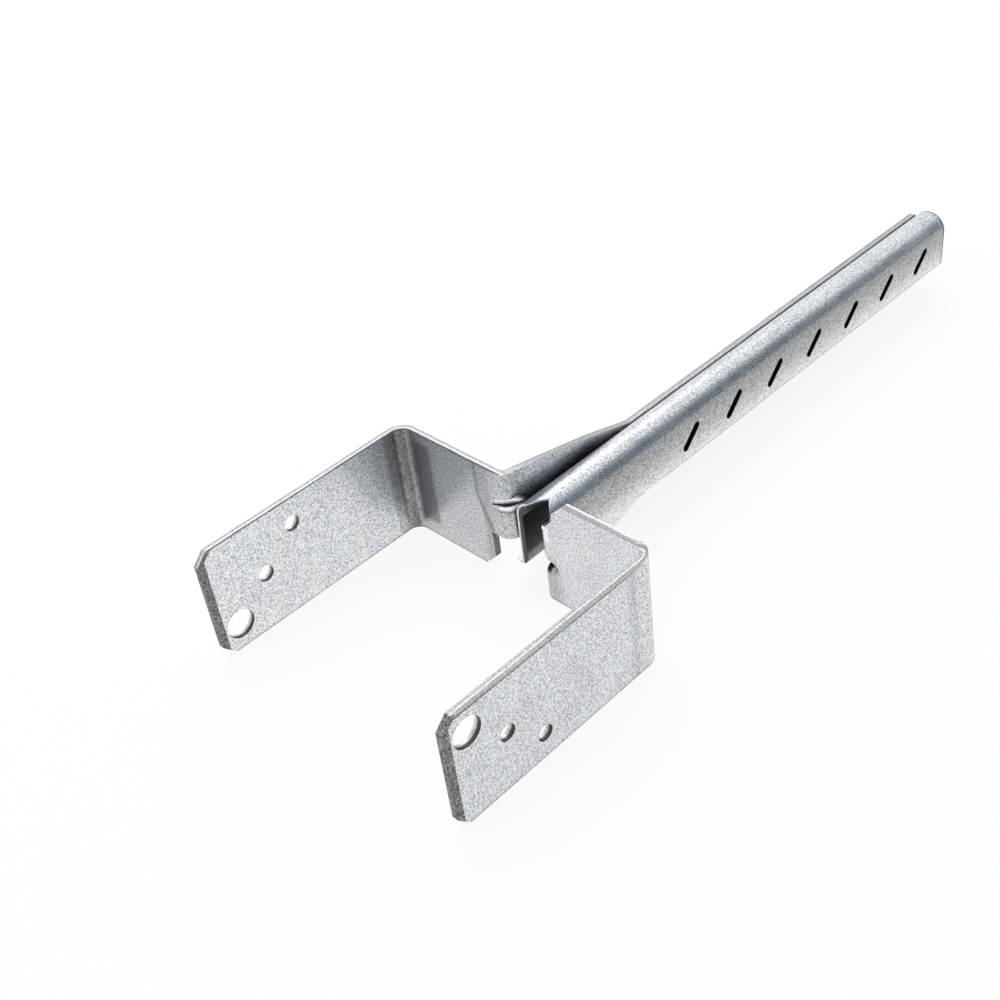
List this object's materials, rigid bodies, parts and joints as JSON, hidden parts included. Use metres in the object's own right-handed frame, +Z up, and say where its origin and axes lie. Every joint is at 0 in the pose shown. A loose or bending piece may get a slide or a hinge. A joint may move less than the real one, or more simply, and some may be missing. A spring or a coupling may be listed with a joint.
{
  "type": "post base",
  "caption": "Post base folded from one strip of galvanised sheet: a saddle of two straps holds the post, and a slotted rolled stem is cast into concrete.",
  "frame": {"origin": "middle of the seat that the post's end rests on, at half the strap's width", "axes": "+X across the saddle, -Y the way the post leaves, +Y along the stem, +Z up as the part lies on its straps' edges"},
  "size_m": [0.106, 0.307, 0.04],
  "materials": {
    "zinc": "hot-dip galvanised, satin with a fine grain"
  },
  "bodies": {
    "root": {"post_base": "zinc"}
  },
  "joints": []
}
